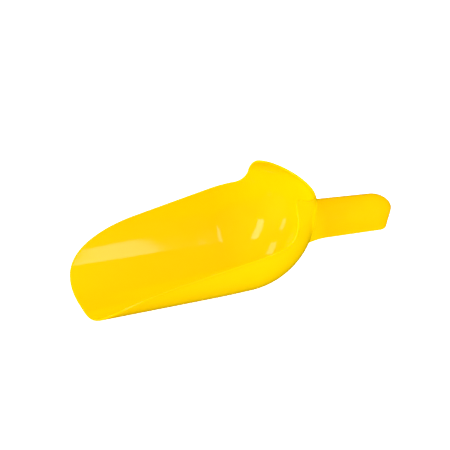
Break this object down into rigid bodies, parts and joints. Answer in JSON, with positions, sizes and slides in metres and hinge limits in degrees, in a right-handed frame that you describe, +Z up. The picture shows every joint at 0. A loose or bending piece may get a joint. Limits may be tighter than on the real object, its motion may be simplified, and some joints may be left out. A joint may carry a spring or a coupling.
{
  "type": "feed scoop",
  "caption": "One-hand feed scoop: open rounded trough with a turned-up lip, side walls that step up to a raised back, and a short hollow grip open underneath.",
  "frame": {"origin": "below the middle of the scoop's length, on the surface that it rests on", "axes": "-X towards the lip, +X towards the end of the grip, +Z up; Y = 0 is the mirror plane"},
  "size_m": [0.328, 0.1398, 0.1019],
  "materials": {
    "yellow_plastic": "glossy moulded plastic, coloured through"
  },
  "bodies": {
    "root": {"scoop_bowl": "yellow_plastic", "grip_channel": "yellow_plastic"}
  },
  "joints": []
}
